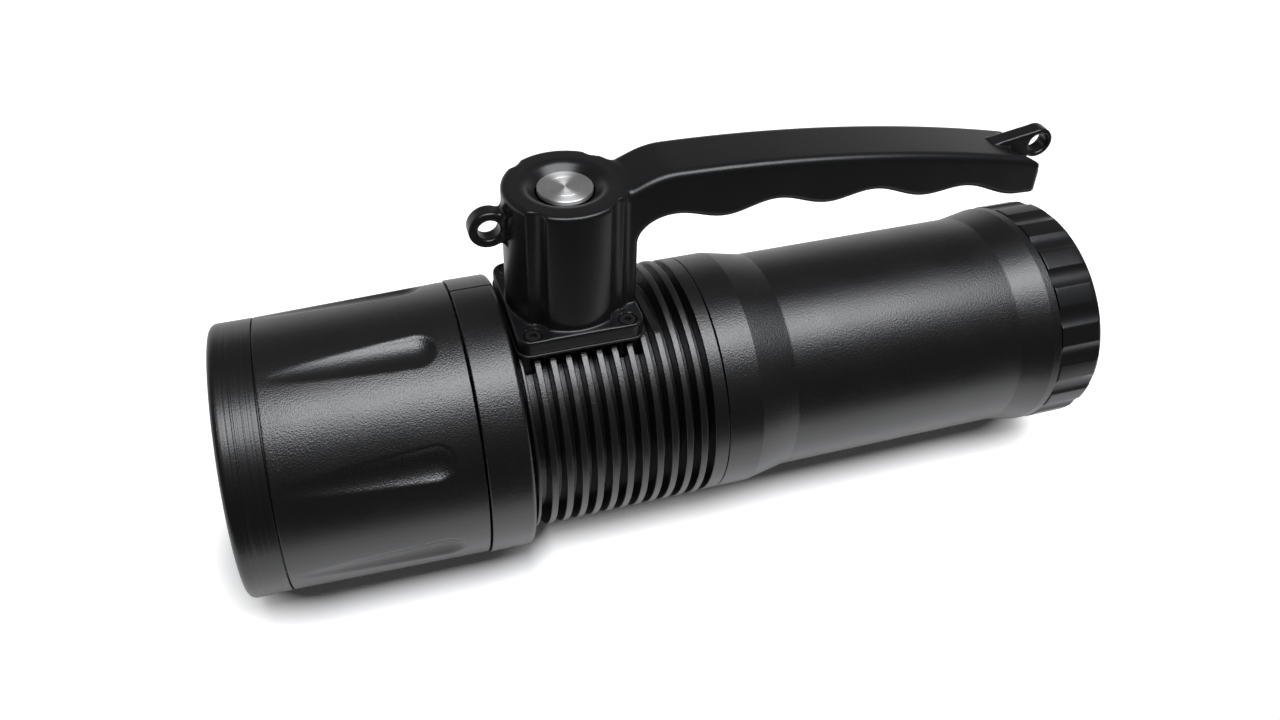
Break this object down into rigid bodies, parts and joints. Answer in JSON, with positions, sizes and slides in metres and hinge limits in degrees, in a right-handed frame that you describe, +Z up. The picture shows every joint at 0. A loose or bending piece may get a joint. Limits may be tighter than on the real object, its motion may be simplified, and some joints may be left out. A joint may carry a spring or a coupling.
{
  "type": "rechargeable searchlight",
  "caption": "Hand-held metal searchlight: fluted screw-on head, finned heat sink, battery tube, fluted tail cap and a finger-grip top handle with a push switch.",
  "frame": {"origin": "under the middle of the lamp, at the height of the clamp collar's lowest point", "axes": "+X runs along the lamp from the lens to the tail cap, +Z runs up through the handle's post, +Y is across the lamp"},
  "size_m": [0.3218, 0.1, 0.149],
  "materials": {
    "turned_black": "black anodised, fine turned rings, satin",
    "blasted_black": "black anodised over bead blasting, matt",
    "satin_black": "smooth satin black",
    "plain_aluminium": "turned",
    "black_steel": "black oxide, slight gloss",
    "steel": "turned stainless",
    "brass": "gold flash",
    "copper_wire": "lacquered winding",
    "mirror_coat": "polished mirror",
    "lens_glass": "clear, coated",
    "rubber": "matt",
    "black_plastic": "matt",
    "white_plastic": "matt",
    "green_board": "solder mask",
    "white_board": "white solder mask on aluminium",
    "lamp_yellow": "phosphor under a clear dome",
    "capacitor_blue": "sleeved",
    "wire_red": "silicone insulation",
    "cell_sleeve": "shrink sleeve on a can",
    "pack_film": "shrink film"
  },
  "bodies": {
    "lamp_body": {"collar": "blasted_black", "collar_screw": "black_steel", "heat_sink": "blasted_black", "lamp_board": "white_board", "lamp_dome": "lamp_yellow", "lamp_screws": "steel", "lamp_leads": "wire_red", "driver_board": "green_board", "driver_posts": "brass", "driver_screws": "steel", "driver_coil": "copper_wire", "driver_capacitors": "capacitor_blue", "bulkhead": "plain_aluminium", "bulkhead_ring": "blasted_black", "contact_bush": "white_plastic", "front_contact": "brass", "handle": "satin_black", "base_gasket": "rubber", "base_screws": "black_steel", "switch_body": "steel", "switch_washer": "rubber", "switch_nut": "steel", "switch_spring": "steel", "switch_terminals": "brass", "switch_leads": "wire_red", "battery_tube": "blasted_black", "tube_seal": "rubber", "battery_cells": "cell_sleeve", "cell_strips": "steel", "pack_sleeve": "pack_film", "pack_front_plate": "black_plastic", "pack_rear_plate": "black_plastic", "pack_board": "green_board", "pack_contacts": "brass", "charge_socket": "black_plastic"},
    "button": {"push_button": "steel"},
    "head_carrier": {"head_seal": "rubber"},
    "head": {"bezel_ring": "turned_black", "lens_gasket": "rubber", "lens": "lens_glass", "bezel_seal": "rubber", "reflector": "mirror_coat", "head_shell": "blasted_black"},
    "tail_carrier": {"tail_seal": "rubber"},
    "tail": {"tail_cap": "satin_black", "tail_board": "green_board", "tail_board_ring": "blasted_black", "tail_spring": "steel"}
  },
  "joints": [
    {"name": "button_press", "type": "slide", "parent": "lamp_body", "child": "button", "axis": [0, 0, -1], "range_m": [0, 0.002], "stiffness_N_per_m": 1500, "springref_m": -0.0004, "deforming": ["switch_spring"]},
    {"name": "head_run_out", "type": "slide", "parent": "lamp_body", "child": "head_carrier", "axis": [-1, 0, 0], "range_m": [0, 0.002]},
    {"name": "head_turn", "type": "hinge", "parent": "head_carrier", "child": "head", "pos_m": [-0.161, 0, 0.05], "axis": [-1, 0, 0], "range_deg": [0, 360]},
    {"name": "cap_run_out", "type": "slide", "parent": "lamp_body", "child": "tail_carrier", "axis": [1, 0, 0], "range_m": [0, 0.008]},
    {"name": "cap_turn", "type": "hinge", "parent": "tail_carrier", "child": "tail", "pos_m": [0.161, 0, 0.05], "axis": [1, 0, 0], "range_deg": [0, 1440]}
  ],
  "couplings": [
    {"joint": "head_run_out", "follows": "head_turn", "m_per_rad": 0.0003183},
    {"joint": "cap_run_out", "follows": "cap_turn", "m_per_rad": 0.0003183}
  ]
}
